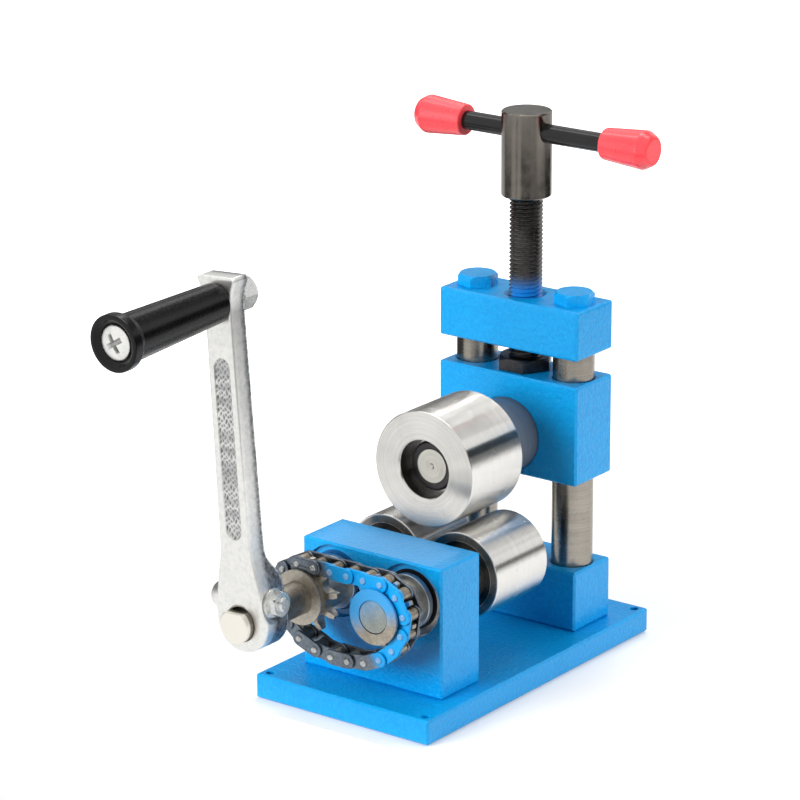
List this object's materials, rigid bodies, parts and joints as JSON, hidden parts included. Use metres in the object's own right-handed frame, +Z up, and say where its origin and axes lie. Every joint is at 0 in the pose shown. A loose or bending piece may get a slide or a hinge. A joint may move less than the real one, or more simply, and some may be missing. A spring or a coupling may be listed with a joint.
{
  "type": "bracelet bending machine",
  "caption": "Hand cranked bench machine that bends flat bracelet strip between two chain driven lower rollers and a free upper roller pressed down by a screw.",
  "frame": {"origin": "centre of the underside of the base plate, midway between its four corner holes", "axes": "+X across the base plate to the right as seen from the crank, +Y from the crank to the columns, +Z up"},
  "size_m": [0.1324, 0.2949, 0.26],
  "materials": {
    "blue_enamel": "gloss",
    "polished_steel": "polished",
    "ground_steel": "satin",
    "raw_steel": "satin",
    "chain_steel": "satin",
    "blackened_steel": "satin",
    "zinc_plate": "satin",
    "grip_plastic": "satin",
    "cap_plastic": "gloss",
    "seal_rubber": "matte"
  },
  "bodies": {
    "frame": {"base_plate": "blue_enamel", "front_block": "blue_enamel", "rear_block": "blue_enamel", "left_column": "ground_steel", "right_column": "ground_steel", "crossbar": "blue_enamel", "column_bolts": "blue_enamel", "front_block_screws": "blackened_steel", "rear_block_screws": "blackened_steel", "column_foot_screws": "blackened_steel", "bearing_outer_rings": "polished_steel", "bearing_balls": "polished_steel", "bearing_seals": "seal_rubber", "chain_inner_plates": "chain_steel", "chain_outer_plates": "chain_steel", "chain_rollers": "raw_steel", "chain_bushes": "chain_steel", "chain_pins": "chain_steel", "chain_clip": "zinc_plate"},
    "crank": {"crank_shaft": "ground_steel", "left_roller": "polished_steel", "left_roller_key": "ground_steel", "left_roller_washer": "ground_steel", "left_roller_screw": "blackened_steel", "left_inner_rings": "polished_steel", "left_spacer": "raw_steel", "left_sprocket": "raw_steel", "left_sprocket_screw": "blackened_steel", "crank_arm": "zinc_plate", "cotter_pin": "zinc_plate", "cotter_washer": "zinc_plate", "cotter_nut": "zinc_plate", "grip_bolt": "zinc_plate", "grip_nut": "zinc_plate"},
    "grip": {"grip": "grip_plastic"},
    "right_roller": {"right_shaft": "ground_steel", "right_roller": "polished_steel", "right_roller_key": "ground_steel", "right_roller_washer": "ground_steel", "right_roller_screw": "blackened_steel", "right_inner_rings": "polished_steel", "right_spacer": "raw_steel", "right_sprocket": "raw_steel", "right_sprocket_screw": "blackened_steel"},
    "carriage": {"slide_block": "blue_enamel", "upper_axle": "ground_steel", "axle_set_screw": "blackened_steel", "screw_retainer": "blackened_steel", "axle_ring": "blackened_steel", "upper_inner_rings": "polished_steel", "upper_balls": "polished_steel"},
    "upper_roller": {"upper_roller": "polished_steel", "upper_outer_rings": "polished_steel", "upper_seal": "seal_rubber"},
    "screw": {"pressure_screw": "blackened_steel", "screw_head": "blackened_steel", "thrust_nut": "blackened_steel"},
    "bar": {"sliding_bar": "blackened_steel", "left_cap": "cap_plastic", "right_cap": "cap_plastic"}
  },
  "joints": [
    {"name": "crank_turn", "type": "hinge", "parent": "frame", "child": "crank", "pos_m": [-0.0215, 0, 0.057], "axis": [0, 1, 0], "continuous": true, "deforming": ["chain_inner_plates", "chain_outer_plates", "chain_rollers", "chain_bushes", "chain_pins", "chain_clip"]},
    {"name": "grip_spin", "type": "hinge", "parent": "crank", "child": "grip", "pos_m": [-0.03163, -0.135, 0.20566], "axis": [-0.0021, 0.9995, 0.0313], "continuous": true},
    {"name": "right_roller_turn", "type": "hinge", "parent": "frame", "child": "right_roller", "pos_m": [0.0215, 0, 0.057], "axis": [0, 1, 0], "continuous": true},
    {"name": "carriage_slide", "type": "slide", "parent": "frame", "child": "carriage", "axis": [0, 0, 1], "range_m": [-0.00321, 0.00601]},
    {"name": "screw_turn", "type": "hinge", "parent": "carriage", "child": "screw", "pos_m": [0, 0.056, 0.15], "axis": [0, 0, 1], "range_deg": [-576, 1080]},
    {"name": "upper_roller_spin", "type": "hinge", "parent": "carriage", "child": "upper_roller", "pos_m": [0, 0, 0.10457], "axis": [0, 1, 0], "continuous": true},
    {"name": "bar_slide", "type": "slide", "parent": "screw", "child": "bar", "axis": [1, 0, 0], "range_m": [-0.0324, 0.0224]}
  ],
  "couplings": [
    {"joint": "right_roller_turn", "follows": "crank_turn", "ratio": 1},
    {"joint": "carriage_slide", "follows": "screw_turn", "m_per_rad": 0.00031831}
  ]
}
